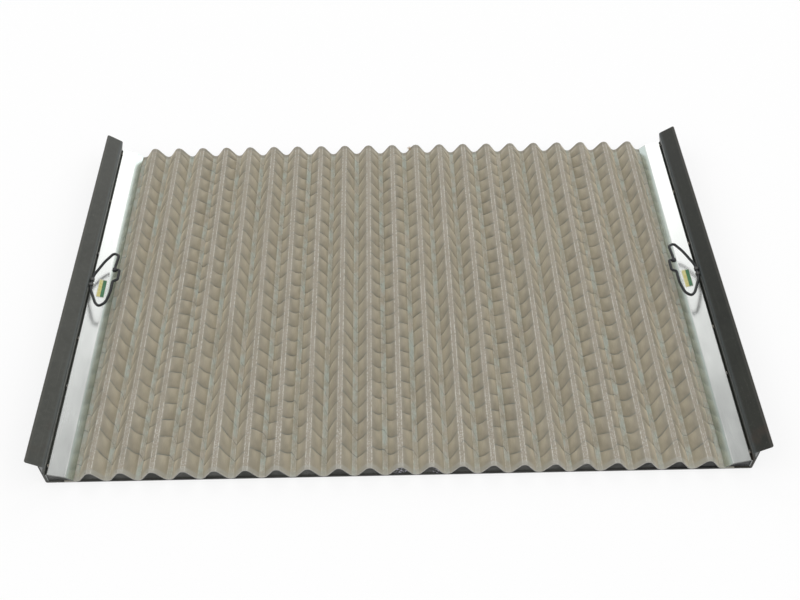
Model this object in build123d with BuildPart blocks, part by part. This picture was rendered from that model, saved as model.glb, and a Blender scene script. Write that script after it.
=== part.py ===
from build123d import *
from math import asin, atan2, cos, hypot, radians, sin, tan
import os

# Corrugated hook-strip screen panel for a shale shaker.
# X runs across the ridges from hook to hook, Y along the ridges, Z up.
# The origin is the middle of the panel on its underside.

# whole panel
panel_length = 697.0        # along the ridges, edge to edge

# folded cloth
ridge_count = 21
ridge_pitch = 44.5
ridge_height = 20.4         # crest above valley, on the upper face
crest_radius = 8.0          # upper face of a crest
valley_radius = 7.3         # upper face of a valley
backing_thickness = 1.0     # coarse carrying cloth
screen_thickness = 0.6      # bonded fine cloths on top of it

# perforated support plate, with a column of openings under each ridge
plate_thickness = 1.5
plate_web = 10.5            # between two columns of openings
plate_crossbar = 25.0       # between two rows of openings
plate_end_margin = 38.5
opening_rows = 5

# bright edge strips over the cloth margin, drawn on their upper face
edge_thickness = 1.5
edge_tip_margin = 4.25      # from the last valley to the tip that bears on the cloth
edge_tip_width = 9.0        # steep facet, across X
edge_facet_width = 26.0     # wide facet, across X
edge_crease_radius = 3.0
edge_back_radius = 2.5

# hook strips, drawn on their inner and upper face
hook_thickness = 2.5
hook_foot_length = 20.5
hook_leg_height = 19.6      # upright part of the leg, up to the edge strip's top
hook_lean_rise = 18.8       # leaning part of the leg, up to the rim
hook_lean_in = 5.1
hook_flange_width = 29.05   # on the slope, from the rim to the tip
hook_flange_angle = radians(35.5)
hook_foot_radius = 1.5
hook_lean_radius = 6.0
hook_rim_radius = 4.0
hook_corner_radius = 3.0

# side angles that close the panel outside the hook strips
angle_thickness = 1.5
angle_foot_length = 14.7
angle_bend = 1.0

# end seals
plug_depth = 25.0
plug_recess = 1.5
cap_depth = 6.0
cap_recess = 0.5

# carrying loops of coated wire
wire_diameter = 4.5
loop_rise = 15.4            # above the wide facet's top edge
loop_standoff = 8.5         # from the hook leg to the straight run of the wire
crimp_inward = 33.0         # from the straight run to the crimp
crimp_along = 28.0
crimp_size = 7.0
crimp_height = 6.0
crimp_chamfer = 1.0
clamp_width = 5.0
clamp_wall = 1.2
clamp_lug_height = 3.0
clamp_lug_drop = 2.0
clamp_places = (7.0, -4.0)

# stickers and weld tacks
sticker_width = 13.0
sticker_length = 38.0
sticker_corner = 1.5
sticker_thickness = 0.3
sticker_offset = 1.5        # from the crease of the edge strip
sticker_place = 7.0
tack_radius = 1.6
tack_length = 5.0
tack_end_inset = 13.5
tack_middle_places = (208.0, 80.0, -103.0, -195.0)

# clearances
bond_gap = 0.1
seam_gap = 0.15
cloth_end_gap = 2.0         # from the cloth's end to the hook foot
plate_end_gap = 0.3         # from the plate to the foot of the side angle

# places along X, outward from the last ridge
half_length = panel_length / 2
half_pitch = ridge_pitch / 2
last_valley_x = ridge_count * half_pitch
edge_tip_x = last_valley_x + edge_tip_margin
edge_crease_x = edge_tip_x + edge_tip_width
hook_leg_x = edge_crease_x + edge_facet_width
hook_foot_end_x = hook_leg_x - hook_foot_length
rim_x = hook_leg_x - hook_lean_in
wall_inner_x = hook_leg_x + hook_thickness
plate_half_width = wall_inner_x - angle_foot_length - plate_end_gap
cloth_half_width = hook_foot_end_x - cloth_end_gap
loop_run_x = hook_leg_x - loop_standoff

# heights above the underside
cloth_thickness = backing_thickness + screen_thickness
valley_top = plate_thickness + cloth_thickness
crest_top = valley_top + ridge_height
foot_top = plate_thickness + hook_thickness
lean_start = foot_top + hook_leg_height
rim_height = lean_start + hook_lean_rise
loop_height = lean_start + loop_rise

# steepness of the slopes that join a crest bend to a valley bend
bend_sum = crest_radius + valley_radius
straight_rise = ridge_height - bend_sum
slope = atan2(straight_rise, half_pitch) + asin(bend_sum / hypot(half_pitch, straight_rise))
corner_lift = 1 / cos(slope) - 1

hook_points = (
    (hook_foot_end_x, foot_top),
    (hook_leg_x, foot_top),
    (hook_leg_x, lean_start),
    (rim_x, rim_height),
    (rim_x + hook_flange_width * cos(hook_flange_angle),
     rim_height + hook_flange_width * sin(hook_flange_angle)),
)
hook_radii = (hook_foot_radius, hook_lean_radius, hook_rim_radius)

# the tip facet of the edge strip climbs at 45 degrees
tip_drop = edge_thickness / hypot(1, 1)
tip_height = valley_top + tip_drop
edge_back_x = hook_leg_x - bond_gap
crease_height = tip_height + tip_drop + edge_tip_width
edge_points = (
    (edge_tip_x - tip_drop, tip_height),
    (edge_crease_x, crease_height),
    (edge_back_x, lean_start),
    (edge_back_x, foot_top + hook_foot_radius),
)
edge_radii = (edge_crease_radius, edge_back_radius)

# bent wire of a loop: inward from its straight run, and along the panel
loop_shape = (
    (crimp_inward, crimp_along + crimp_size / 2),
    (crimp_inward, 38.0),
    (35.0, 60.0),
    (26.0, 66.0),
    (14.0, 48.0),
    (0.0, 16.0),
    (0.0, -12.0),
    (13.0, -43.0),
    (20.0, -50.5),
    (29.5, -42.0),
    (33.5, -20.0),
    (33.5, 3.0),
    (41.0, 7.0),
    (41.0, crimp_along),
    (crimp_inward + crimp_size / 2, crimp_along),
)
loop_radii = (40, 5, 5, 60, 30, 30, 20, 5, 14, 40, 3.5, 3.5, 3)


def crest_corner(depth):
    """Height of the sharp corner of a crest, this deep below the upper face."""
    return crest_top - depth + (crest_radius - depth) * corner_lift


def valley_corner(depth):
    """Height of the sharp corner of a valley, this deep below the upper face."""
    return valley_top - depth - (valley_radius + depth) * corner_lift


def wave_line(depth):
    """Folded cloth from margin to margin, this deep below its upper face."""
    valley_bend = valley_radius + depth
    margin_turn = last_valley_x - valley_bend * tan(slope / 2)
    level = valley_top - depth
    points = [(-cloth_half_width, level), (-margin_turn, level)]
    radii = [valley_bend]
    for ridge in range(ridge_count):
        crest_x = ridge_pitch * ridge + half_pitch - last_valley_x
        points.append((crest_x, crest_corner(depth)))
        radii.append(crest_radius - depth)
        if ridge < ridge_count - 1:
            points.append((crest_x + half_pitch, valley_corner(depth)))
            radii.append(valley_bend)
    points += [(margin_turn, level), (cloth_half_width, level)]
    radii.append(valley_bend)
    return FilletPolyline(*points, radius=radii)


def cloth_section(upper_depth, lower_depth):
    """Section of one cloth layer, drawn with X and Z."""
    with BuildSketch() as section:
        with BuildLine():
            upper = wave_line(upper_depth)
            lower = wave_line(lower_depth)
            Line(upper @ 0, lower @ 0)
            Line(upper @ 1, lower @ 1)
        make_face()
    return section.sketch


def bent_sheet(points, radii, thickness):
    """Section of a folded sheet that lies to the right of a line through the points."""
    with BuildSketch() as section:
        with BuildLine():
            face_line = FilletPolyline(*points, radius=radii)
            offset(face_line, amount=thickness, side=Side.RIGHT)
        make_face()
    return section.sketch


def shifted_corner(before, corner, after, distance):
    """Corner of the same bend on a line that runs this far to the right."""
    first = (Vector(*corner) - Vector(*before)).normalized()
    second = (Vector(*after) - Vector(*corner)).normalized()
    right = Vector(first.Y, -first.X) + Vector(second.Y, -second.X)
    return Vector(*corner) + right * (distance / (1 + first.dot(second)))


def arch_section(depth, floor):
    """Section of the space under one ridge, centred on the ridge."""
    peak = crest_corner(depth)
    half_width = (peak - floor) / tan(slope)
    with BuildSketch() as section:
        with BuildLine():
            sides = FilletPolyline(
                (-half_width, floor), (0, peak), (half_width, floor), radius=[crest_radius - depth]
            )
            Line(sides @ 1, sides @ 0)
        make_face()
    return section.sketch


# support plate with a column of openings under each ridge
opening_width = ridge_pitch - plate_web
row_space = panel_length - 2 * plate_end_margin + plate_crossbar
row_pitch = row_space / opening_rows
opening_length = row_pitch - plate_crossbar
with BuildPart() as support_plate:
    with BuildSketch():
        Rectangle(2 * plate_half_width, panel_length)
        with GridLocations(ridge_pitch, row_pitch, ridge_count, opening_rows):
            Rectangle(opening_width, opening_length, mode=Mode.SUBTRACT)
    extrude(amount=plate_thickness)

# coarse carrying cloth, folded into ridges
with BuildPart() as backing_cloth:
    with BuildSketch(Plane.XZ):
        add(cloth_section(screen_thickness, cloth_thickness))
    extrude(amount=half_length, both=True)

# fine cloths bonded on top
with BuildPart() as screen_cloth:
    with BuildSketch(Plane.XZ):
        add(cloth_section(0, screen_thickness))
    extrude(amount=half_length, both=True)

# moulded plugs that close the ridges at the front edge
plug_depth_below = cloth_thickness + bond_gap
with BuildPart() as front_plugs:
    with BuildSketch(Plane.XZ.offset(half_length - plug_recess)):
        with GridLocations(ridge_pitch, 1, ridge_count, 1):
            add(arch_section(plug_depth_below, plate_thickness + bond_gap))
    extrude(amount=-plug_depth)

# the same plugs at the rear edge
with BuildPart() as rear_plugs:
    mirror(front_plugs.part, about=Plane.XZ)

# hook strip: foot, leaning leg and raised flange in one folded sheet
with BuildPart() as hook_strip:
    with BuildSketch(Plane.XZ):
        add(bent_sheet(hook_points, hook_radii, hook_thickness))
    extrude(amount=half_length, both=True)
    flange_tip = hook_strip.faces().sort_by(Axis.X)[-1]
    fillet(flange_tip.edges().filter_by(Axis.Y, reverse=True), radius=hook_corner_radius)

# side angle: a foot beside the plate and a wall up to the flange
flange_steepness = tan(hook_flange_angle)
flange_drop = hook_thickness / cos(hook_flange_angle)
flange_underside = rim_height + (wall_inner_x - rim_x) * flange_steepness - flange_drop
angle_points = (
    (wall_inner_x - angle_foot_length, angle_thickness),
    (wall_inner_x, angle_thickness),
    (wall_inner_x, flange_underside - seam_gap),
)
with BuildPart() as side_angle:
    with BuildSketch(Plane.XZ):
        add(bent_sheet(angle_points, [angle_bend], angle_thickness))
    extrude(amount=half_length, both=True)

# bright edge strip: tip facet, wide facet and a back leg that stands on the hook foot
with BuildPart() as edge_strip:
    with BuildSketch(Plane.XZ):
        add(bent_sheet(edge_points, edge_radii, edge_thickness))
    extrude(amount=half_length, both=True)

# filler in both ends of the duct under the edge strip
duct_inset = edge_thickness + bond_gap
duct_crease = shifted_corner(*edge_points[:3], duct_inset)
duct_back = shifted_corner(*edge_points[1:], duct_inset)
duct_floor = foot_top + bond_gap
duct_start = (duct_crease.X - (duct_crease.Y - duct_floor), duct_floor)
with BuildPart() as duct_plugs:
    with BuildSketch(Plane.XZ.offset(half_length - plug_recess)):
        with BuildLine():
            duct_roof = FilletPolyline(
                duct_start, duct_crease, duct_back, (duct_back.X, duct_floor),
                radius=[edge_crease_radius - duct_inset, edge_back_radius - duct_inset],
            )
            Line(duct_roof @ 1, duct_roof @ 0)
        make_face()
    extrude(amount=-plug_depth)
    mirror(about=Plane.XZ)

# caps in both ends of the hollow between the leaning leg, the flange and the wall
cap_inset = hook_thickness + seam_gap
cap_rim = shifted_corner(*hook_points[2:], cap_inset)
cap_wall_x = wall_inner_x - seam_gap
cap_reach = cap_wall_x - cap_rim.X
leg_steepness = hook_lean_rise / hook_lean_in
with BuildPart() as hook_caps:
    with BuildSketch(Plane.XZ.offset(half_length - cap_recess)):
        with BuildLine():
            cap_sides = FilletPolyline(
                (cap_wall_x, cap_rim.Y + cap_reach * flange_steepness),
                (cap_rim.X, cap_rim.Y),
                (cap_wall_x, cap_rim.Y - cap_reach * leg_steepness),
                radius=[hook_rim_radius - cap_inset],
            )
            Line(cap_sides @ 1, cap_sides @ 0)
        make_face()
    extrude(amount=-cap_depth)
    mirror(about=Plane.XZ)

# weld tacks in the seam between the edge strip and the hook leg
tack_end_place = half_length - tack_end_inset
tack_places = (tack_end_place, *tack_middle_places, -tack_end_place)
with BuildPart() as weld_tacks:
    for place in tack_places:
        with BuildSketch(Plane.XZ.offset(tack_length / 2 - place)):
            with Locations((hook_leg_x - tack_radius, lean_start)):
                Circle(tack_radius)
            add(bent_sheet(edge_points, edge_radii, edge_thickness), mode=Mode.SUBTRACT)
            add(bent_sheet(hook_points, hook_radii, hook_thickness), mode=Mode.SUBTRACT)
        extrude(amount=-tack_length)

# carrying loop of coated wire, both ends in the crimp
with BuildPart() as carrying_loop:
    with BuildLine(Plane.XY.offset(loop_height)) as wire_path:
        FilletPolyline(
            *[(loop_run_x - inward, along) for inward, along in loop_shape], radius=loop_radii
        )
    with BuildSketch(Plane(origin=wire_path.line @ 0, z_dir=wire_path.line % 0)):
        Circle(wire_diameter / 2)
    sweep(path=wire_path.line)

# crimp that joins the two ends of the wire
with BuildPart() as loop_crimp:
    with Locations((loop_run_x - crimp_inward, crimp_along, loop_height)):
        Box(crimp_size, crimp_size, crimp_height)
    chamfer(loop_crimp.edges(), length=crimp_chamfer)

# clamps that hold the straight run of the wire on the hook leg
with BuildPart() as loop_clamps:
    clamp_centres = [(loop_run_x, place, loop_height) for place in clamp_places]
    with Locations(*clamp_centres):
        Cylinder(wire_diameter / 2 + clamp_wall, clamp_width, rotation=(90, 0, 0))
    with Locations(*[(loop_run_x, place, loop_height - clamp_lug_drop) for place in clamp_places]):
        Box(
            rim_x + hook_thickness - loop_run_x, clamp_width, clamp_lug_height,
            align=(Align.MIN, Align.CENTER, Align.CENTER),
        )
    with Locations(*clamp_centres):
        Cylinder(wire_diameter / 2 + bond_gap, clamp_width, rotation=(90, 0, 0), mode=Mode.SUBTRACT)
    add(hook_strip.part, mode=Mode.SUBTRACT)

# sticker on the wide facet, beside the crease and inside the loop
facet = Vector(edge_back_x - edge_crease_x, 0, lean_start - crease_height).normalized()
facet_plane = Plane(
    origin=(edge_crease_x, 0, crease_height), x_dir=facet, z_dir=Vector(-facet.Z, 0, facet.X)
)
with BuildPart() as sticker:
    with BuildSketch(facet_plane):
        with Locations((sticker_offset + sticker_width / 2, sticker_place)):
            RectangleRounded(sticker_width, sticker_length, sticker_corner)
    extrude(amount=sticker_thickness)

os.makedirs("parts", exist_ok=True)

single_pieces = {
    "support_plate": support_plate,
    "backing_cloth": backing_cloth,
    "screen_cloth": screen_cloth,
    "front_plugs": front_plugs,
    "rear_plugs": rear_plugs,
}
for node_name, piece in single_pieces.items():
    piece.part.label = node_name
    export_step(piece.part, f"parts/{node_name}.step")

# what is on the right is on the left too, mirrored
handed_pieces = {
    "hook_strip": hook_strip,
    "side_angle": side_angle,
    "edge_strip": edge_strip,
    "duct_plugs": duct_plugs,
    "hook_caps": hook_caps,
    "weld_tacks": weld_tacks,
    "carrying_loop": carrying_loop,
    "loop_crimp": loop_crimp,
    "loop_clamps": loop_clamps,
    "sticker": sticker,
}
for node_name, right_piece in handed_pieces.items():
    with BuildPart() as left_piece:
        mirror(right_piece.part, about=Plane.YZ)
    right_piece.part.label = f"right_{node_name}"
    export_step(right_piece.part, f"parts/right_{node_name}.step")
    left_piece.part.label = f"left_{node_name}"
    export_step(left_piece.part, f"parts/left_{node_name}.step")
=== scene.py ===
import math

import bmesh
import bpy
from mathutils import Matrix, Vector, noise


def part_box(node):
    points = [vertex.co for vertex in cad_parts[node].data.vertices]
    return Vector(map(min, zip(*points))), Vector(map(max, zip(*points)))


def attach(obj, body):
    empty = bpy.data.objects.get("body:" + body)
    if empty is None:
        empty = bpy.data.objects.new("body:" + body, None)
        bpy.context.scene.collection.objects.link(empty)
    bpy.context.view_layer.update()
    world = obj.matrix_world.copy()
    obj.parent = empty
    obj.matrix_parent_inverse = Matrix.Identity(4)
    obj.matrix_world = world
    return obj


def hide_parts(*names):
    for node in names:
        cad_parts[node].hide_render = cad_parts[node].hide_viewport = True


# Looks of a corrugated screen panel: X runs across the ridges, Y along them, Z up.

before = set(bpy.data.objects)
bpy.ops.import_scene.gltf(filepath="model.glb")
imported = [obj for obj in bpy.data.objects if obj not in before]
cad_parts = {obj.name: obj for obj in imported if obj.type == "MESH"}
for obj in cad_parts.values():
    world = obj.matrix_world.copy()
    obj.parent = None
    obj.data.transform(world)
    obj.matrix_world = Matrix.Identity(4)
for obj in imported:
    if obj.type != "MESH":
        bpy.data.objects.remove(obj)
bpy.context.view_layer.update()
mm = 0.001

# folded cloths, as the solids have them
ridge_count = 21
ridge_pitch = 44.5 * mm
crest_radius = 8.0 * mm
valley_radius = 7.3 * mm
cloth_low, cloth_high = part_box("screen_cloth")
backing_low, backing_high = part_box("backing_cloth")
cloth_thickness = cloth_high.z - backing_high.z
backing_thickness = cloth_low.z - backing_low.z
valley_top = cloth_low.z + cloth_thickness
ridge_height = cloth_high.z - valley_top
half_length = cloth_high.y
half_pitch = ridge_pitch / 2
last_valley_x = ridge_count * half_pitch

# loose cells of the fine cloth, between its bonded crests and valleys
cell_pitch = 29.3 * mm
bulge_height = 2.4 * mm
plain_border = 6 * mm
loose_half = 0.385  # half the loose width, as a share of a slope
rows_per_cell = 11
fine_rows = 262
coarse_rows = 33
crease_gather = 0.55  # how far the rows draw together at a crease

# course of a crease over a slope, in cells
crease_stagger = 0.27
crease_scatter = 0.17
crease_offset = 0.08
crease_lean = 0.26
crease_arch = 0.12

# mesh work
smooth_below = math.radians(50)
weld_distance = 0.002 * mm
flat_within = math.radians(1)
seal_rim = 0.9 * mm
seal_sag = 0.9 * mm


# shader maths


class Value:
    """A number in a material; sums of values become its Math nodes."""

    def __init__(self, nodes, socket):
        self.nodes = nodes
        self.socket = socket

    def combine(self, operation, *others):
        sockets = dict(enumerate((self, *others)))
        return self.nodes.node("ShaderNodeMath", {"operation": operation}, sockets)

    def after(self, operation, first):
        sockets = {0: first, 1: self}
        return self.nodes.node("ShaderNodeMath", {"operation": operation}, sockets)

    def __add__(self, other):
        return self.combine("ADD", other)

    def __radd__(self, other):
        return self.after("ADD", other)

    def __sub__(self, other):
        return self.combine("SUBTRACT", other)

    def __rsub__(self, other):
        return self.after("SUBTRACT", other)

    def __mul__(self, other):
        return self.combine("MULTIPLY", other)

    def __rmul__(self, other):
        return self.after("MULTIPLY", other)

    def __truediv__(self, other):
        return self.combine("DIVIDE", other)

    def __mod__(self, other):
        return self.combine("FLOORED_MODULO", other)

    def __abs__(self):
        return self.combine("ABSOLUTE")


class Nodes:
    """A node tree under way."""

    def __init__(self, tree):
        self.tree = tree

    def node(self, kind, settings=None, sockets=None, output=0):
        made = self.tree.nodes.new(kind)
        for name, value in (settings or {}).items():
            setattr(made, name, value)
        for key, value in (sockets or {}).items():
            self.feed(made.inputs[key], value)
        return Value(self, made.outputs[output])

    def feed(self, socket, value):
        if isinstance(value, Value):
            self.tree.links.new(value.socket, socket)
        elif hasattr(value, "__len__") and len(value) == 3 and socket.type == "RGBA":
            socket.default_value = (*value, 1.0)
        else:
            socket.default_value = value

    def output_of(self, name):
        """What a node that the tree came with gives."""
        return Value(self, self.tree.nodes[name].outputs[0])

    def along(self, vector, axis):
        return self.node("ShaderNodeSeparateXYZ", sockets={0: vector}, output=axis)

    def between(self, value, low, high, start=0.0, end=1.0):
        settings = {"interpolation_type": "SMOOTHSTEP"}
        sockets = {"Value": value, "From Min": low, "From Max": high}
        sockets |= {"To Min": start, "To Max": end}
        return self.node("ShaderNodeMapRange", settings, sockets)

    def seen(self, *rays):
        """One on the rays named, such as what the camera sees, and zero on the others."""
        seen, *others = (self.node("ShaderNodeLightPath", output=ray) for ray in rays)
        for other in others:
            seen = seen.combine("MAXIMUM", other)
        return seen


class Finish(Nodes):
    """A material under way: its nodes and its surface shader."""

    def __init__(self, name, **constants):
        self.material = bpy.data.materials.new(name)
        self.material.use_nodes = True
        super().__init__(self.material.node_tree)
        self.surface = self.tree.nodes["Principled BSDF"]
        self.set(**constants)

    def set(self, **inputs):
        for socket, value in inputs.items():
            self.feed(self.surface.inputs[socket.replace("_", " ")], value)

    def place(self):
        """Object coordinates."""
        return self.node("ShaderNodeTexCoord", output=3)

    def stretched(self, vector, scale):
        return self.node("ShaderNodeMapping", sockets={"Vector": vector, "Scale": scale})

    def grain(self, vector, scale, detail=3.0, roughness=0.55):
        sockets = {"Vector": vector, "Scale": scale, "Detail": detail, "Roughness": roughness}
        return self.node("ShaderNodeTexNoise", sockets=sockets)

    def mix(self, amount, first, second, blend="MIX"):
        settings = {"data_type": "RGBA", "blend_type": blend}
        return self.node("ShaderNodeMix", settings, {0: amount, 6: first, 7: second}, output=2)

    def near(self, place, point, radius):
        """One at a point of the object, fading out at this distance."""
        settings = {"operation": "DISTANCE"}
        sockets = {0: place, 1: Vector(point) * mm}
        distance = self.node("ShaderNodeVectorMath", settings, sockets, output=1)
        return self.between(distance, 0.25 * radius * mm, radius * mm, 1.0, 0.0)

    def bump(self, height, depth, strength=1.0, under=None):
        sockets = {"Height": height, "Distance": depth, "Strength": strength}
        if under is not None:
            sockets["Normal"] = under
        return self.node("ShaderNodeBump", sockets=sockets)

    def weave(self, flat, **waves):
        """The wires that run along the folds, and those that run across them."""
        sockets = {"Vector": flat, **waves}
        settings = [{"wave_type": "BANDS", "bands_direction": axis} for axis in "XY"]
        return [self.node("ShaderNodeTexWave", direction, sockets) for direction in settings]


# pieces


def add_piece(name, shape, slot, *stands_for):
    """A piece of the panel from a mesh or a curve."""
    piece = bpy.data.objects.new(name, shape)
    bpy.context.scene.collection.objects.link(piece)
    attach(piece, "root")
    if stands_for:
        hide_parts(*stands_for)
    return piece


def piece_from(shell, name, finish, slot, *stands_for, flats_even=True):
    """A finished piece of the panel from a bmesh."""
    mesh = bpy.data.meshes.new(name)
    shell.to_mesh(mesh)
    shell.free()
    mesh.shade_smooth()
    mesh.set_sharp_from_angle(angle=smooth_below)
    mesh.materials.append(finish.material)
    piece = add_piece(name, mesh, slot, *stands_for)
    if flats_even:
        shading = piece.modifiers.new("flats_even", "WEIGHTED_NORMAL")
        shading.keep_sharp = True
        shading.weight = 80
    return piece


def solid_copy(node):
    """A solid's mesh with its triangles joined, flat faces whole."""
    shell = bmesh.new()
    shell.from_mesh(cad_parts[node].data)
    bmesh.ops.remove_doubles(shell, verts=shell.verts, dist=weld_distance)
    bmesh.ops.dissolve_limit(
        shell, angle_limit=flat_within, verts=shell.verts, edges=shell.edges
    )
    return shell


def round_edges(shell, width, segments=2, sharper_than=40):
    sharp = [
        edge
        for edge in shell.edges
        if len(edge.link_faces) == 2 and edge.calc_face_angle() > math.radians(sharper_than)
    ]
    bmesh.ops.bevel(
        shell, geom=sharp, offset=width, offset_type="OFFSET", segments=segments,
        profile=0.5, affect="EDGES", clamp_overlap=True, material=-1,
    )


def rounded_piece(node, name, finish, slot, width, **rounding):
    shell = solid_copy(node)
    round_edges(shell, width, **rounding)
    piece_from(shell, name, finish, slot, node)


def sealed_piece(node, name, finish):
    """Cured sealant: the flat ends facing forward and backward draw in behind a raised rim."""
    shell = solid_copy(node)
    for facing in (-1, 1):
        ends = [face for face in shell.faces if face.normal.y * facing > 0.99]
        for _ in range(2):
            bmesh.ops.inset_region(
                shell, faces=ends, thickness=seal_rim, depth=-seal_sag / 2, use_even_offset=False
            )
    piece_from(shell, name, finish, "seal", node)


def paint_node(node, finish):
    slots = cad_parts[node].data.materials
    slots.clear()
    slots.append(finish.material)


# the folded cloths

slope_rise = ridge_height - crest_radius - valley_radius
slope_angle = math.atan2(slope_rise, half_pitch) + math.asin(
    (crest_radius + valley_radius) / math.hypot(half_pitch, slope_rise)
)
valley_arc = valley_radius * slope_angle
crest_arc = crest_radius * slope_angle
straight = (
    ridge_height - (crest_radius + valley_radius) * (1 - math.cos(slope_angle))
) / math.sin(slope_angle)
slope_length = valley_arc + straight + crest_arc
slopes = 2 * ridge_count
slope_stops = (
    0, 0.5 * valley_arc, *(valley_arc + straight * k / 4 for k in range(5)),
    slope_length - 0.5 * crest_arc,
)


def half_fold(arc):
    """Across, up and leaning this far up a slope, from the middle of a valley."""
    if arc < valley_arc:
        turn = arc / valley_radius
        return valley_radius * math.sin(turn), valley_radius * (1 - math.cos(turn)), turn
    if arc < valley_arc + straight:
        run = arc - valley_arc
        across = valley_radius * math.sin(slope_angle) + run * math.cos(slope_angle)
        up = valley_radius * (1 - math.cos(slope_angle)) + run * math.sin(slope_angle)
        return across, up, slope_angle
    turn = (slope_length - arc) / crest_radius
    across = half_pitch - crest_radius * math.sin(turn)
    return across, ridge_height - crest_radius * (1 - math.cos(turn)), turn


def folded_place(developed):
    """X, height and leaning of a place on the flattened sheet, from its first valley."""
    over = max(developed - slopes * slope_length, 0)
    if developed <= 0 or over > 0:
        return math.copysign(last_valley_x, over - 1e-9) + (over or developed), 0.0, 0.0
    column = min(math.floor(developed / slope_length), slopes - 1)
    arc = developed - column * slope_length
    if column % 2 == 0:
        across, up, lean = half_fold(arc)
        return column * half_pitch - last_valley_x + across, up, lean
    across, up, lean = half_fold(slope_length - arc)
    return (column + 1) * half_pitch - last_valley_x - across, up, -lean


def sheet_lines():
    """Places on the flattened sheet where its lengthwise mesh lines run."""
    margin = cloth_high.x - last_valley_x
    places = [-margin, -margin / 2]
    for column in range(slopes):
        rising = column % 2 == 0
        stops = slope_stops if rising else [slope_length - s for s in slope_stops[:0:-1]]
        places += [column * slope_length + stop for stop in (stops if rising else [0, *stops])]
    far = slopes * slope_length
    return places + [far, far + margin / 2, far + margin]


def slant(column, across, along):
    """How far a crease lies from a straight row of cells, in cells, here on its slope."""
    scatter = noise.cell(Vector((column * 1.7, 0, 9)))
    stagger = crease_stagger * (-1) ** column + crease_scatter * scatter - crease_offset
    lean = crease_lean * math.sin(column * 2.3 + along * 1.8)
    arch = crease_arch + crease_arch * math.sin(column * 1.1 + along * 3.0)
    side = 2 * across - 1
    return stagger + lean * side - arch * side * side


def crease_shift(count, along):
    """The slant at this slope count, shared halfway where two slopes meet."""
    column = math.floor(count + 1e-6)
    across = count - column
    if across > 1e-5:
        return slant(min(max(column, 0), slopes - 1), across, along)
    left = slant(max(column - 1, 0), 1.0, along)
    return 0.5 * left + 0.5 * slant(min(column, slopes - 1), 0.0, along)


def bulge(count, share, along):
    """How far the loose cloth stands out here: a blunt dome, fuller in some cells than others."""
    column = math.floor(count)
    side = (count - column - 0.5) / loose_half
    border = min(1.0, (half_length - abs(along)) / plain_border - 1)
    if abs(side) >= 1 or border <= 0 or not 0 <= column < slopes:
        return 0.0
    cell = math.floor(share)
    fullness, skew, tilt = noise.cell_vector(Vector((column * 3.7, cell * 1.3, 4.0)))
    inside = (share - cell) ** (1.15 + 0.5 * skew)
    side += 0.35 * (tilt - 0.5) * (1 - side * side)
    dome = math.sin(math.pi * inside) ** 0.8 * (1 - abs(side) ** 2.2)
    return bulge_height * (0.55 + 0.6 * fullness) * dome * border


def folded_surface(shell, lines, rows, top, loose):
    """The upper face of a folded sheet, this far out from the fold, with its measures."""
    columns = len(lines) - 1
    bmesh.ops.create_grid(shell, x_segments=columns, y_segments=rows, size=0.5)
    leaning = shell.verts.layers.float.new("leaning")
    flat_x = shell.verts.layers.float.new("flat_x")
    cell_share = shell.verts.layers.float.new("cell_share")
    last_share = rows / rows_per_cell
    gather = crease_gather / math.tau
    cell = 2 * half_length / (last_share - gather * math.sin(math.tau * last_share))
    for vertex in shell.verts:
        developed = lines[round((vertex.co.x + 0.5) * columns)]
        x, up, lean = folded_place(developed)
        share = (vertex.co.y + 0.5) * last_share
        along = (share - gather * math.sin(math.tau * share)) * cell - half_length
        out = top
        if loose:
            count = developed / slope_length
            inner = min(1.0, (half_length - abs(along)) / (1.4 * cell_pitch))
            along -= inner * cell_pitch * crease_shift(count, along)
            out += bulge(count, share, along)
        vertex[leaning] = lean
        vertex[flat_x] = developed
        vertex[cell_share] = share
        vertex.co = (x - out * math.sin(lean), along, valley_top + up + out * math.cos(lean))
    return leaning, flat_x, cell_share


def close_underneath(shell, leaning, thickness):
    """Both cut ends go down by the sheet's thickness, and the under face joins them."""
    rims = []
    for end in (-half_length, half_length):
        cut = [edge for edge in shell.edges if all(abs(v.co.y - end) < 1e-6 for v in edge.verts)]
        made = bmesh.ops.extrude_edge_only(shell, edges=cut)["geom"]
        for vertex in (item for item in made if isinstance(item, bmesh.types.BMVert)):
            lean = vertex[leaning]
            vertex.co += Vector((math.sin(lean), 0, -math.cos(lean))) * thickness
        edges = (item for item in made if isinstance(item, bmesh.types.BMEdge))
        rims += [edge for edge in edges if edge.is_boundary]
    low_rims = [edge for edge in rims if abs(edge.verts[0].co.y - edge.verts[1].co.y) < 1e-6]
    bmesh.ops.bridge_loops(shell, edges=low_rims)
    open_edges = [edge for edge in shell.edges if edge.is_boundary]
    bmesh.ops.holes_fill(shell, edges=open_edges, sides=0)
    bmesh.ops.recalc_face_normals(shell, faces=shell.faces)


def folded_sheet(rows, top, thickness, loose):
    """A closed folded sheet, with a map of the flattened sheet and one of its cells."""
    shell = bmesh.new()
    leaning, flat_x, cell_share = folded_surface(shell, sheet_lines(), rows, top, loose)
    close_underneath(shell, leaning, thickness)
    developed_map = shell.loops.layers.uv.new("developed")
    cell_map = shell.loops.layers.uv.new("cells")
    for face in shell.faces:
        for loop in face.loops:
            vertex = loop.vert
            loop[developed_map].uv = (vertex[flat_x], vertex.co.y)
            loop[cell_map].uv = (vertex[flat_x] / slope_length, vertex[cell_share])
    return shell


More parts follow.
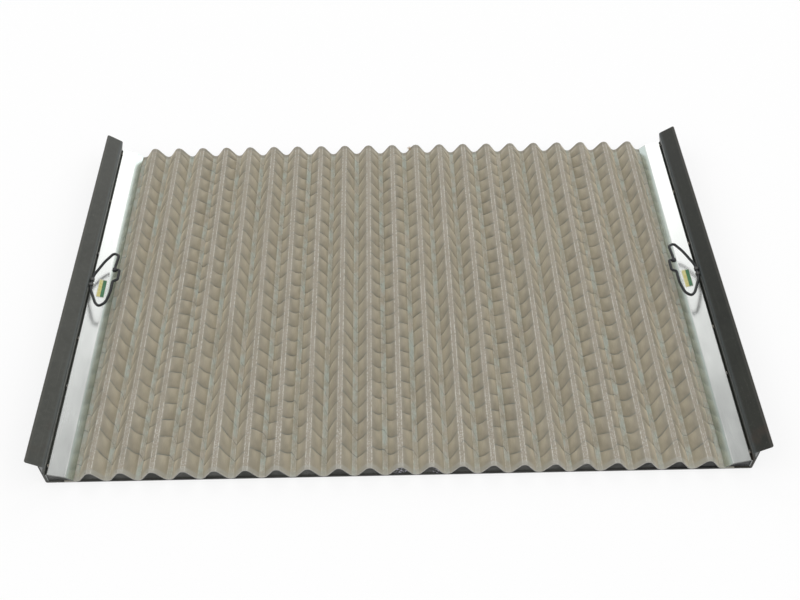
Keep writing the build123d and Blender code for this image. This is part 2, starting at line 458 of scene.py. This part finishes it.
def frayed_wires():
    """A few wires that have come out of the cloth's rear edge, beside the middle of the panel."""
    wires = bpy.data.curves.new("frayed_wires", "CURVE")
    wires.dimensions = "3D"
    wires.bevel_depth = 0.4 * mm
    wires.bevel_resolution = 2
    wires.use_fill_caps = True
    root = Vector((35.0, 344.0, 14.0))
    tips = (
        (-5.0, 2.5, 5.0), (-1.5, 3.0, 6.5), (3.0, 2.0, 4.5), (-6.0, 1.0, 2.0),
        (-3.0, 3.2, 4.0), (0.5, 3.0, 5.5), (-3.5, 2.0, 7.0), (-6.5, 2.5, 4.0),
    )
    for tip in map(Vector, tips):
        strand = wires.splines.new("NURBS")
        strand.points.add(3)
        stations = (Vector((0, 0, -1.5)), tip * 0.3, tip * 0.75 + Vector((0, 1, 0)), tip)
        for point, station in zip(strand.points, stations):
            point.co = (*((root + station) * mm), 1.0)
        strand.order_u = 3
        strand.use_endpoint_u = True
    wires.materials.append(frayed_finish().material)
    add_piece("frayed_wires", wires, "screen_cloth")


# finishes of the cloths


class FoldedPlace:
    """Where a point of the fine cloth lies on its sheet and on its fold, in mm."""

    def __init__(self, made):
        cell_map = made.node("ShaderNodeUVMap", {"uv_map": "cells"})
        self.flat = made.node("ShaderNodeUVMap", {"uv_map": "developed"})
        self.slope = made.along(cell_map, 0)
        self.cell = made.along(cell_map, 1)
        self.along = made.along(self.flat, 1) / mm
        self.edge = half_length / mm
        self.from_crest = abs(self.slope % 2.0 - 1.0) * (slope_length / mm)
        self.from_valley = slope_length / mm - self.from_crest
        # one on the bonded bands, and one away from the plain borders
        self.crest_band = made.between(self.from_crest, 3.4, 5.2, 1.0, 0.0)
        self.valley_band = made.between(self.from_valley, 3.4, 5.2, 1.0, 0.0)
        self.band = self.crest_band + self.valley_band
        from_middle = abs(self.along)
        self.inner = made.between(from_middle, self.edge - 7.5, self.edge - 5.5, 1.0, 0.0)
        # the bonding shows more in some places than in others
        self.uneven = made.between(made.grain(self.flat, 30.0, 3.0), 0.35, 0.65, 0.45, 1.0)


def woven_ground(made, fold):
    """Warm grey wire, painted darker up on the slopes than down in the valleys, to offset the
    light on the crests and the shade in the valleys.
    """
    clouds = made.between(made.grain(fold.flat, 12.0, 3.0), 0.3, 0.7)
    patches = made.between(made.grain(fold.flat, 48.0, 2.0), 0.35, 0.7)
    tone = made.mix(clouds, (0.318, 0.287, 0.215), (0.375, 0.341, 0.257))
    tone = made.mix(patches * 0.4, tone, (0.46, 0.40, 0.30))
    # painted light and shade: darker toward the crests, lighter down in the valleys
    painted_fold_light = made.between(fold.from_crest, 3.0, 30.0, 0.74, 1.12)
    return made.mix(1.0, tone, painted_fold_light, "MULTIPLY")


def bonded_bands(made, fold, tone):
    """The bonded crests, and the valleys with patches of a cooler grey, painted pale to offset
    the shade down in the valleys.
    """
    tone = made.mix(fold.crest_band * fold.uneven * 0.9, tone, (0.322, 0.288, 0.234))
    blotches = made.grain(made.stretched(fold.flat, (90.0, 30.0, 1.0)), 1.0)
    mottle = made.between(blotches, 0.35, 0.62)
    # partly the valley bands' own cooler grey, partly painted light against the shade in the
    # valleys
    low_tone = made.mix(mottle, (0.52, 0.478, 0.395), (0.475, 0.535, 0.475))
    patchy = made.between(made.grain(fold.flat, 42.0, 2.0), 0.42, 0.58, 0.3, 1.0)
    return made.mix(fold.valley_band * patchy * 0.95, tone, low_tone)


def cell_shading(made, fold, tone):
    """Painted highlight on the top of each loose cell toward its back, and painted shade at its
    front, behind the crease before it.
    """
    inside = fold.cell % 1.0
    middle = made.between(abs(fold.slope % 1.0 - 0.5), 0.05, 0.34, 1.0, 0.0)
    # painted highlight: each cell's top paler toward its back
    top = made.between(inside, 0.3, 0.68) * made.between(inside, 0.76, 0.96, 1.0, 0.0)
    tone = made.mix(top * middle * fold.inner * 0.42, tone, (0.56, 0.50, 0.375))
    # painted shade at each cell's front, behind the crease
    shade = made.between(inside, 0.0, 0.32, 1.0, 0.0) * (1.0 - fold.band) * fold.inner
    return made.mix(shade * 0.46, tone, (0.17, 0.165, 0.14))


def crease_lines(made, fold):
    """One along the creases between cells, broken here and there."""
    wobble = (made.grain(fold.flat, 90.0, 2.0) - 0.5) * 4.0
    from_crease = abs(((fold.cell + 0.5) % 1.0 - 0.5) * (cell_pitch / mm) + wobble)
    broken = made.between(made.grain(fold.flat, 70.0, 2.0), 0.3, 0.55)
    crease = made.between(from_crease, 0.2, 2.6, 1.0, 0.0) * broken * fold.inner
    return crease * (1.0 - fold.crest_band * 0.4)


def seams(made, fold, tone):
    """Twin dashed seams on each crest and valley, painted bright as sparkling wire, and bright
    specks between them painted as glints of the wire.
    """
    high_seam = made.between(abs(fold.from_crest - 3.1), 0.15, 0.8, 1.0, 0.0)
    low_seam = made.between(abs(fold.from_valley - 3.2), 0.15, 0.8, 1.0, 0.0)
    stitches = made.grain(made.stretched(fold.flat, (500.0, 230.0, 1.0)), 1.0, 2.0)
    dashes = made.between(stitches, 0.38, 0.6)
    seam_patches = made.between(made.grain(fold.flat, 22.0, 2.0), 0.35, 0.65, 0.45, 1.0)
    # painted highlight: the seams drawn bright as sparkling wire, in patches
    tone = made.mix((high_seam + low_seam) * dashes * seam_patches * 0.75, tone, (0.78, 0.77, 0.7))
    # painted glints: bright specks of the wire in the bands, more toward the front
    toward_front = made.between(fold.along, -300.0, -120.0, 0.55, 0.22)
    specks = made.between(made.grain(fold.flat, 560.0, 1.0), 0.5, 0.66)
    return made.mix(fold.band * specks * fold.uneven * toward_front, tone, (0.66, 0.64, 0.58))


def border_marks(made, fold, tone):
    """Plain borders, greyer in front and darker behind, with a cut edge and one rust spot."""
    rear_border = made.between(fold.along, fold.edge - 9.0, fold.edge - 6.0)
    tone = made.mix(rear_border * 0.45, tone, (0.17, 0.16, 0.13))
    front_border = made.between(fold.along, 5.5 - fold.edge, 9.0 - fold.edge, 1.0, 0.0)
    tone = made.mix(front_border * 0.55, tone, (0.36, 0.355, 0.315))
    cut_edge = made.between(abs(fold.along), fold.edge - 0.5, fold.edge - 0.1)
    tone = made.mix(cut_edge * 0.5, tone, (0.3, 0.295, 0.27))
    spot = made.near(made.place(), (-407, -335, valley_top / mm), 4.5)
    return made.mix(spot * 0.7, tone, (0.11, 0.05, 0.03))


def cloth_finish():
    """Fine woven steel wire, bonded in cells with seams on crests and valleys."""
    made = Finish("woven_cloth", Metallic=0.1, Roughness=0.6)
    made.set(Sheen_Weight=1.0, Sheen_Roughness=0.3, Sheen_Tint=(1.0, 0.9, 0.72))
    fold = FoldedPlace(made)
    creases = crease_lines(made, fold)
    tone = bonded_bands(made, fold, woven_ground(made, fold))
    tone = seams(made, fold, cell_shading(made, fold, tone))
    # painted shade darkening the creases between cells
    tone = made.mix(creases * 0.72, tone, (0.14, 0.165, 0.16))
    wires = made.grain(made.stretched(fold.flat, (1100.0, 90.0, 1.0)), 1.0, 3.0)
    tone = made.mix(made.between(wires, 0.3, 0.7) * 0.24, tone, (0.2, 0.185, 0.15))
    made.set(Base_Color=border_marks(made, fold, tone))
    wrinkles = made.grain(made.stretched(fold.flat, (110.0, 60.0, 1.0)), 1.0, 3.0)
    relief = made.bump(wrinkles, 0.9 * mm, 0.35)
    pinched = made.bump(1.0 - creases, 0.5 * mm, 0.5, relief)
    warp, weft = made.weave(fold.flat, Scale=420.0, Distortion=0.6, Detail=1.0)
    made.set(Normal=made.bump(warp * weft, 0.05 * mm, 0.5, pinched))
    return made


def backing_finish():
    """Coarse woven carrying cloth of bare steel wire."""
    made = Finish("coarse_cloth", Metallic=0.55, Roughness=0.5)
    flat = made.node("ShaderNodeUVMap", {"uv_map": "developed"})
    warp, weft = made.weave(flat, Scale=260.0)
    wires = warp.combine("MAXIMUM", weft)
    clouds = made.between(made.grain(flat, 16.0, 3.0), 0.3, 0.7)
    tone = made.mix(clouds, (0.34, 0.33, 0.30), (0.46, 0.45, 0.42))
    tone = made.mix(made.between(wires, 0.55, 0.95, 0.75, 0.0), tone, (0.05, 0.05, 0.047))
    made.set(Base_Color=tone, Normal=made.bump(wires, 0.3 * mm, 0.8))
    return made


def frayed_finish():
    """Loose wire ends, tan with dried dust."""
    made = Finish("frayed_wire", Roughness=0.6)
    dust = made.between(made.grain(made.place(), 700.0, 2.0), 0.35, 0.65)
    made.set(Base_Color=made.mix(dust, (0.42, 0.31, 0.19), (0.6, 0.48, 0.33)))
    return made


# finishes of the strips and sheets


def coated_steel(name, dark, pale, gloss=0.44):
    """Sheet steel under a thin satin coating, rubbed and slightly mottled."""
    made = Finish(name)
    place = made.place()
    clouds = made.grain(place, 11.0, 4.0)
    mottle = made.grain(place, 130.0, 3.0)
    rubbed = made.grain(made.stretched(place, (260.0, 7.0, 260.0)), 1.0, 3.0)
    tone = made.mix(made.between(clouds, 0.32, 0.68), dark, pale)
    tone = made.mix(made.between(mottle, 0.4, 0.7) * 0.3, tone, tuple(c * 1.35 for c in pale))
    tone = made.mix(made.between(rubbed, 0.58, 0.74) * 0.35, tone, tuple(c * 1.8 for c in pale))
    specks = made.between(made.grain(place, 900.0, 1.0), 0.7, 0.76)
    tone = made.mix(specks * 0.5, tone, (0.22, 0.21, 0.19))
    made.set(Roughness=made.between(clouds, 0.3, 0.7, gloss - 0.07, gloss + 0.07))
    made.set(Normal=made.bump(mottle + rubbed, 0.12 * mm, 0.35))
    return made, place, tone


def plain_coating(name, dark, pale, gloss=0.44):
    made, place, tone = coated_steel(name, dark, pale, gloss)
    made.set(Base_Color=tone)
    return made


def hook_finish(side):
    """The hook strips' coating, the right one painted darker as shade, cooler and lighter by the
    rim as a painted reflection of the bright strip, with brown handling marks at the front.
    """
    # the right coating is the left's painted darker: painted shade on the right strip
    tones = {
        "left": ((0.036, 0.038, 0.031), (0.05, 0.052, 0.044)),
        "right": ((0.011, 0.0125, 0.009), (0.018, 0.0195, 0.0145)),
    }
    made, place, tone = coated_steel(f"{side}_hook_coating", *tones[side])
    made.set(Specular_IOR_Level=0.4 if side == "left" else 0.3)
    height = made.along(place, 2) / mm
    # painted reflection: a cooler, lighter band by the rim, as light thrown back from the bright
    # strip
    rim = made.between(height, 43.0, 46.0, 1.0, 0.0) * made.between(height, 38.0, 41.0)
    tone = made.mix(rim * 0.45, tone, (0.085, 0.1, 0.105))
    tip = made.between(height, 56.4, 57.6)
    tone = made.mix(tip * 0.3, tone, (0.09, 0.085, 0.075))
    front = made.between(made.along(place, 1) / mm, -348.0, -235.0, 1.0, 0.0)
    stains = made.between(made.grain(place, 24.0, 4.0), 0.47, 0.62)
    made.set(Base_Color=made.mix(stains * front * 0.45, tone, (0.042, 0.026, 0.018)))
    return made


def strip_finish():
    """Bright cold rolled strip with fine lengthwise brushing and faint smears."""
    made = Finish("bright_strip", Metallic=1.0)
    place = made.place()
    brushed = made.grain(made.stretched(place, (900.0, 5.0, 900.0)), 1.0, 3.0)
    scratches = made.grain(made.stretched(place, (2400.0, 22.0, 2400.0)), 1.0, 2.0)
    smears = made.grain(made.stretched(place, (26.0, 9.0, 26.0)), 1.0, 4.0)
    tone = made.mix(made.between(smears, 0.3, 0.7), (0.73, 0.75, 0.73), (0.80, 0.82, 0.80))
    tone = made.mix(made.between(scratches, 0.64, 0.74) * 0.5, tone, (0.5, 0.52, 0.51))
    low_facet = made.between(made.along(place, 2) / mm, 12.4, 13.8, 1.0, 0.0)
    tone = made.mix(low_facet * 0.8, tone, (0.62, 0.72, 0.68))
    end = half_length / mm
    smudged = made.between(abs(made.along(place, 1)) / mm, end - 0.6, end - 0.2)
    made.set(Base_Color=made.mix(smudged * 0.8, tone, (0.12, 0.12, 0.115)))
    made.set(Roughness=made.between(smears, 0.3, 0.7, 0.17, 0.25) + brushed * 0.05)
    made.set(Normal=made.bump(brushed, 0.02 * mm, 0.4))
    return made


# finishes of the small parts


def sealant_finish(name, dark, pale, gloss, shine=0.5, in_front=False):
    """Poured rubbery sealant with uneven glossy pools and small pits."""
    made = Finish(name, Specular_IOR_Level=shine)
    place = made.place()
    pools = made.grain(place, 34.0, 3.0)
    pits = made.between(made.grain(place, 520.0, 2.0), 0.62, 0.72)
    tone = made.mix(made.between(pools, 0.3, 0.7), dark, pale)
    if in_front:
        tone = front_marks(made, place, tone)
    made.set(Base_Color=made.mix(pits * 0.5, tone, tuple(c * 0.4 for c in dark)))
    made.set(Roughness=made.between(pools, 0.4, 0.62, gloss + 0.3, gloss))
    swells = made.bump(pools, 2.5 * mm, 0.5)
    made.set(Normal=made.bump(1.0 - pits, 0.2 * mm, 0.6, swells))
    return made


def front_marks(made, place, tone):
    """Sealant with painted shade that turns it blacker to the right, and painted glints in two
    ridges by the middle.
    """
    # painted shade: the sealant blacker toward the right end
    black = made.between(made.along(place, 0) / mm, 250.0, 430.0)
    tone = made.mix(black * 0.9, tone, (0.012, 0.0125, 0.013))
    # painted glints on the sealant in two ridges by the middle
    glints = made.near(place, (1, -347, 13), 17) + made.near(place, (52, -347, 9), 12)
    glint_breakup = made.between(made.grain(place, 330.0, 2.0), 0.55, 0.62)
    return made.mix(glints * glint_breakup, tone, (0.42, 0.41, 0.48))


def wire_finish():
    """Black plastic coating on bent wire, a little glossy, with rub marks and dust."""
    made = Finish("wire_coating", Coat_Weight=0.1, Coat_Roughness=0.25, Specular_IOR_Level=0.4)
    place = made.place()
    dust = made.between(made.grain(place, 60.0, 4.0), 0.5, 0.72)
    rubs = made.between(made.grain(place, 420.0, 2.0), 0.66, 0.74)
    tone = made.mix(dust * 0.5, (0.006, 0.008, 0.009), (0.024, 0.028, 0.029))
    tone = made.mix(rubs * 0.6, tone, (0.09, 0.09, 0.085))
    made.set(Base_Color=tone, Roughness=made.between(dust, 0.0, 1.0, 0.3, 0.48))
    made.set(Normal=made.bump(made.grain(place, 300.0, 2.0), 0.12 * mm, 0.4))
    return made


def weld_finish():
    """Small weld beads, blued by the heat, with bright tops."""
    made = Finish("weld_beads", Metallic=0.8)
    place = made.place()
    ripples = made.grain(place, 1100.0, 3.0)
    heat = made.between(made.grain(place, 300.0, 2.0), 0.35, 0.65)
    made.set(Base_Color=made.mix(heat, (0.13, 0.135, 0.14), (0.3, 0.27, 0.22)))
    made.set(Roughness=made.between(ripples, 0.3, 0.7, 0.3, 0.5))
    made.set(Normal=made.bump(ripples, 0.3 * mm, 0.8))
    return made


def sticker_finish(side):
    """A plain printed label in two fields, a little faded and scuffed."""
    made = Finish(f"{side}_sticker_print", Roughness=0.42, Coat_Weight=0.2)
    place = made.place()
    low, high = (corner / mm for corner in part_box(f"{side}_sticker"))
    share = (made.along(place, 0) / mm - low.x) / (high.x - low.x)
    length_share = (made.along(place, 1) / mm - low.y) / (high.y - low.y)
    print_grain = made.grain(place, 240.0, 3.0)
    fade = made.between(print_grain, 0.3, 0.7)
    green = made.mix(fade, (0.035, 0.17, 0.07), (0.06, 0.24, 0.1))
    yellow = made.mix(fade, (0.74, 0.66, 0.2), (0.84, 0.78, 0.36))
    tone = made.mix(made.between(share, 0.48, 0.52), yellow, green)
    margin = made.between(abs(share - 0.5), 0.42, 0.44)
    ends = made.between(abs(length_share - 0.5), 0.47, 0.48)
    tone = made.mix(margin.combine("MAXIMUM", ends) * 0.85, tone, (0.8, 0.8, 0.72))
    scuffs = made.between(made.grain(place, 700.0, 2.0), 0.64, 0.7)
    made.set(Base_Color=made.mix(scuffs * 0.5, tone, (0.55, 0.55, 0.5)))
    made.set(Normal=made.bump(print_grain, 0.05 * mm, 0.3))
    return made


# cloths and plate

bonded = folded_sheet(fine_rows, 0.0, cloth_thickness, loose=True)
piece_from(
    bonded, "bonded_cloth", cloth_finish(), "screen_cloth", "screen_cloth", flats_even=False
)
carrying = folded_sheet(coarse_rows, -cloth_thickness, backing_thickness, loose=False)
piece_from(carrying, "carrying_cloth", backing_finish(), "backing_cloth", "backing_cloth")
frayed_wires()

plate_finish = plain_coating("plate_coating", (0.058, 0.058, 0.056), (0.082, 0.082, 0.078), 0.5)
rounded_piece(
    "support_plate", "perforated_plate", plate_finish, "support_plate", 0.25 * mm,
    segments=1, sharper_than=60,
)

# seals

grey_tones = ((0.026, 0.027, 0.0245), (0.055, 0.056, 0.052))
front_tones = ((0.034, 0.0345, 0.0305), (0.062, 0.062, 0.056))
black_tones = ((0.016, 0.016, 0.017), (0.034, 0.034, 0.036))
cap_tones = ((0.13, 0.135, 0.135), (0.22, 0.225, 0.22))
grey_pour = sealant_finish("grey_sealant", *grey_tones, 0.22)
front_pour = sealant_finish("front_sealant", *front_tones, 0.25, shine=0.2, in_front=True)
black_pour = sealant_finish("black_sealant", *black_tones, 0.12)
cap_pour = sealant_finish("cap_sealant", *cap_tones, 0.3)

sealed_piece("front_plugs", "front_seals", front_pour)
sealed_piece("rear_plugs", "rear_seals", grey_pour)

# both sides

angle_finish = plain_coating("angle_coating", (0.06, 0.06, 0.055), (0.085, 0.085, 0.078))
clamp_coating = plain_coating("clamp_coating", (0.05, 0.05, 0.048), (0.08, 0.08, 0.075))
bright_strip = strip_finish()
coated_wire = wire_finish()
weld_beads = weld_finish()


def dress_side(side, duct_pour):
    def rounded(node, name, finish, slot, width):
        rounded_piece(f"{side}_{node}", f"{side}_{name}", finish, slot, width * mm)

    rounded("hook_strip", "hook_sheet", hook_finish(side), "hook_strip", 0.45)
    rounded("side_angle", "angle_sheet", angle_finish, "support_plate", 0.3)
    rounded("edge_strip", "bright_strip", bright_strip, "edge_strip", 0.25)
    sealed_piece(f"{side}_duct_plugs", f"{side}_duct_seals", duct_pour)
    rounded("hook_caps", "cap_seals", cap_pour, "cap", 0.3)
    rounded("loop_clamps", "clamps", clamp_coating, "clamp_steel", 0.2)
    rounded("loop_crimp", "crimp", coated_wire, "wire_coating", 0.25)
    paint_node(f"{side}_weld_tacks", weld_beads)
    paint_node(f"{side}_carrying_loop", coated_wire)
    paint_node(f"{side}_sticker", sticker_finish(side))


dress_side("left", grey_pour)
dress_side("right", black_pour)

# camera

camera_place = Vector((-17.24, -1079.5, 1251.63)) * mm
look = Vector((0.01450, 0.64766, -0.76179))
picture_right = Vector((0.999729, -0.0232783, -0.00075806))
picture_up = (-look).cross(picture_right).normalized()
axes = Matrix((picture_right, picture_up, -look)).transposed()
camera_data = bpy.data.cameras.new("camera")
camera_data.lens = 44.407
camera_data.sensor_width = 36.0
camera = bpy.data.objects.new("camera", camera_data)
camera.matrix_world = Matrix.Translation(camera_place) @ axes.to_4x4()
bpy.context.scene.collection.objects.link(camera)
bpy.context.scene.camera = camera


# floor and light


def floor_finish():
    """White paper that keeps a faint shadow."""
    made = Finish("white_floor", Base_Color=(0.9, 0.9, 0.9), Roughness=0.9)
    paper_white = 0.78
    seen = made.seen("Is Camera Ray", "Is Glossy Ray", "Is Transmission Ray") * paper_white
    glow = made.node("ShaderNodeEmission", sockets={"Color": (1.0, 1.0, 1.0), "Strength": 1.0})
    shaders = {0: seen, 1: made.output_of("Principled BSDF"), 2: glow}
    both = made.node("ShaderNodeMixShader", sockets=shaders)
    made.feed(made.tree.nodes["Material Output"].inputs["Surface"], both)
    return made


def floor_sheet(half_size):
    shell = bmesh.new()
    bmesh.ops.create_grid(shell, x_segments=1, y_segments=1, size=half_size)
    mesh = bpy.data.meshes.new("floor")
    shell.to_mesh(mesh)
    shell.free()
    mesh.materials.append(floor_finish().material)
    floor = bpy.data.objects.new("floor", mesh)
    bpy.context.scene.collection.objects.link(floor)


def studio_world():
    """Soft light from bright walls behind and beside the panel, dimmer low at the back left."""
    world = bpy.data.worlds.new("studio")
    world.use_nodes = True
    room = Nodes(world.node_tree)
    direction = room.node("ShaderNodeTexCoord")
    across = room.along(direction, 0)
    forward = room.along(direction, 1)
    rise = room.along(direction, 2)
    behind = room.between(forward, 0.51, 0.75, 0.43, 1.8)
    corner = room.between(across, -0.65, -0.35, 1.0, 0.0) * room.between(rise, 0.3, 0.5, 1.0, 0.0)
    behind = behind * (1.0 - corner * room.between(forward, 0.58, 0.74) * 0.55)
    before = room.between(forward, -0.6, 0.3, 0.25, 0.0)
    beside = room.between(abs(across + 0.03), 0.35, 0.7) * room.between(rise, 0.36, 0.5)
    beside = beside * room.between(forward, 0.3, 0.47, 1.0, 0.0)
    light = room.tree.nodes["Background"]
    room.feed(light.inputs["Strength"], behind + before + beside * 1.75)
    room.feed(light.inputs["Color"], (1.0, 1.0, 1.0))
    white = room.node("ShaderNodeBackground", sockets={"Color": (1.0, 1.0, 1.0)})
    shaders = {0: room.seen("Is Camera Ray"), 1: room.output_of("Background"), 2: white}
    both = room.node("ShaderNodeMixShader", sockets=shaders)
    room.feed(room.tree.nodes["World Output"].inputs["Surface"], both)
    return world


floor_sheet(half_size=6.0)
bpy.context.scene.world = studio_world()
bpy.context.scene.view_settings.view_transform = "Standard"
